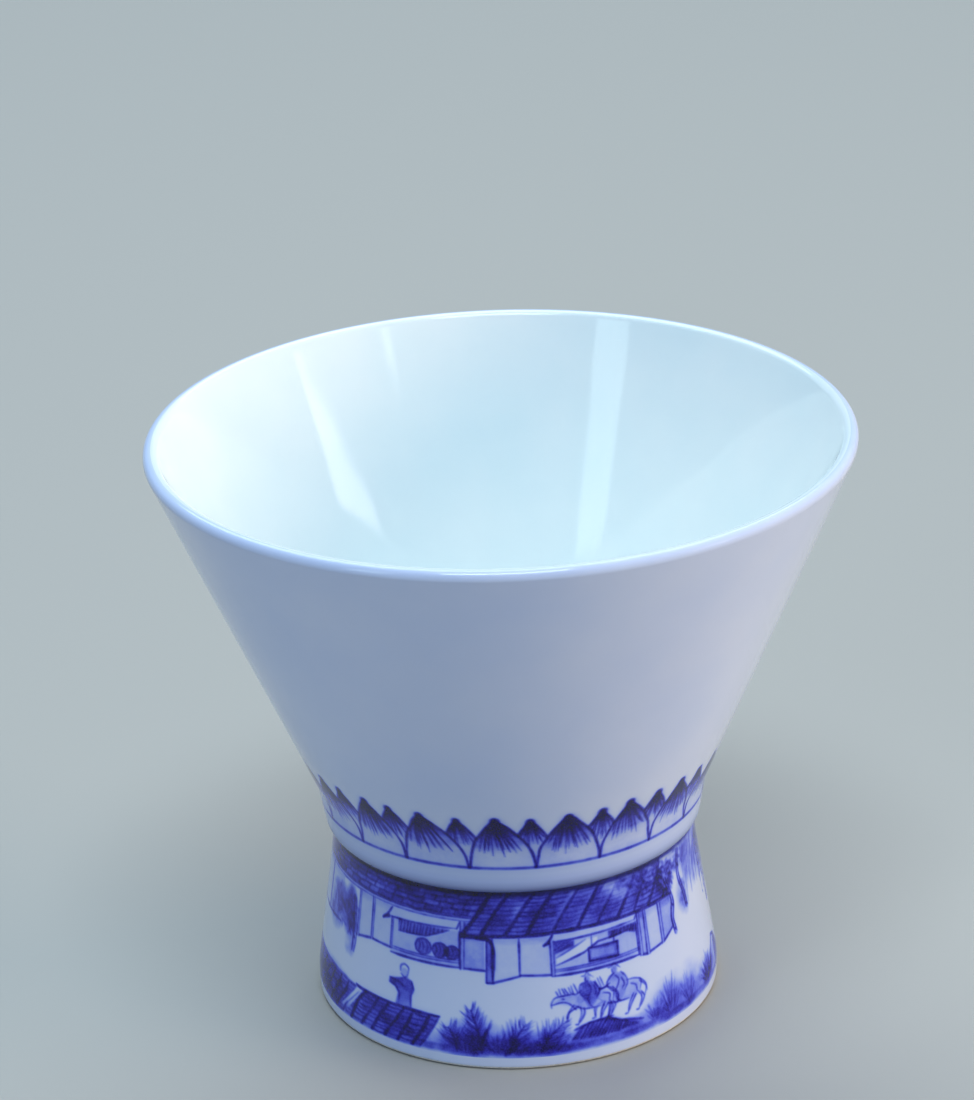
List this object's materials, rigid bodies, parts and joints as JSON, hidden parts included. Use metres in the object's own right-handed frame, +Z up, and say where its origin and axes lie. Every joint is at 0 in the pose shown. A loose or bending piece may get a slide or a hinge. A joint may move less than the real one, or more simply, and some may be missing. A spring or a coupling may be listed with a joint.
{
  "type": "teacup",
  "caption": "Conical porcelain teacup with a rolled ridge and a hollow waisted foot, painted in cobalt under clear glaze, for sipping hot tea.",
  "frame": {"origin": "middle of the circle that the foot ring stands on, at table height", "axes": "+Z up along the cup's axis, towards the mouth; the painted shop front with the double post faces -Y"},
  "size_m": [0.076, 0.076, 0.0653],
  "materials": {
    "porcelain": "fired white porcelain clay, bare and fine-grained",
    "slip": "fired porcelain slip",
    "petal_cobalt": "cobalt brushwork of lotus petals under gloss glaze",
    "line_cobalt": "cobalt banding line under gloss glaze",
    "scene_cobalt": "cobalt brushwork of a village street under gloss glaze",
    "inside_glaze": "clear gloss glaze over white porcelain",
    "outside_glaze": "clear gloss glaze over white porcelain"
  },
  "bodies": {
    "root": {"bowl": "porcelain", "luting_slip": "slip", "foot": "porcelain", "petal_band_painting": "petal_cobalt", "petal_base_line": "line_cobalt", "foot_top_line": "line_cobalt", "village_scene_painting": "scene_cobalt", "inside_glaze": "inside_glaze", "outside_glaze": "outside_glaze", "foot_hollow_glaze": "outside_glaze"}
  },
  "joints": []
}
